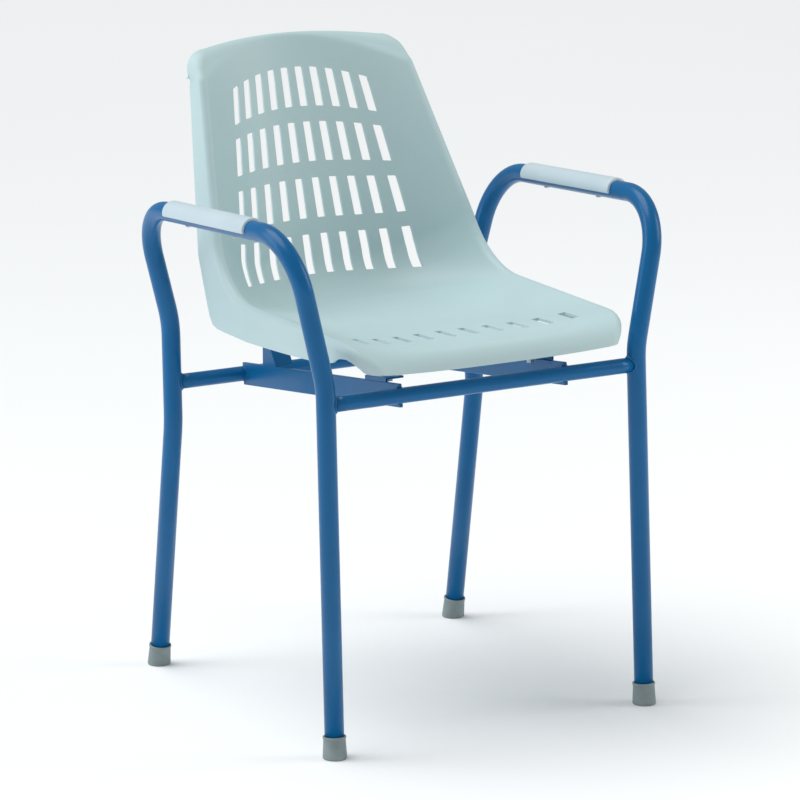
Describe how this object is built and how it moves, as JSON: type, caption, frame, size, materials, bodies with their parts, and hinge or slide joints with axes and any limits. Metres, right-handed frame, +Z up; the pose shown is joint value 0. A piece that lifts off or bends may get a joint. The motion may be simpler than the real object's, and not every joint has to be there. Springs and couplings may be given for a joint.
{
  "type": "shower chair",
  "caption": "Free-standing shower chair: bent tube frame with armrests, moulded seat and back shell with drainage slots, half-sleeve arm pads and rubber ferrules.",
  "frame": {"origin": "on the floor, under the middle of the chair's overall width and depth", "axes": "+Z up, the sitter faces -Y, +X is the sitter's left"},
  "size_m": [0.5754, 0.5611, 0.8349],
  "materials": {
    "blue_powder_coat": "glossy blue powder coat on steel",
    "shell_plastic": "pale bluish-white moulded plastic, satin",
    "pad_plastic": "pale grey-white moulded plastic",
    "bush_plastic": "white plastic",
    "ferrule_rubber": "grey rubber",
    "zinc_steel": "zinc-plated steel",
    "brass": "plain brass"
  },
  "bodies": {
    "root": {"armrest_screws": "zinc_steel", "ferrule_discs": "zinc_steel", "front_cross_rail": "blue_powder_coat", "front_left_ferrule": "ferrule_rubber", "front_left_seat_bracket": "blue_powder_coat", "front_right_ferrule": "ferrule_rubber", "front_right_seat_bracket": "blue_powder_coat", "left_armrest_pad": "pad_plastic", "left_seat_bar": "blue_powder_coat", "left_side_frame_tube": "blue_powder_coat", "rear_cross_rail": "blue_powder_coat", "rear_left_ferrule": "ferrule_rubber", "rear_left_seat_bracket": "blue_powder_coat", "rear_right_ferrule": "ferrule_rubber", "rear_right_seat_bracket": "blue_powder_coat", "right_armrest_pad": "pad_plastic", "right_seat_bar": "blue_powder_coat", "right_side_frame_tube": "blue_powder_coat", "seat_bushes": "bush_plastic", "seat_inserts": "brass", "seat_screws": "zinc_steel", "seat_shell": "shell_plastic", "seat_washers": "zinc_steel"}
  },
  "joints": []
}
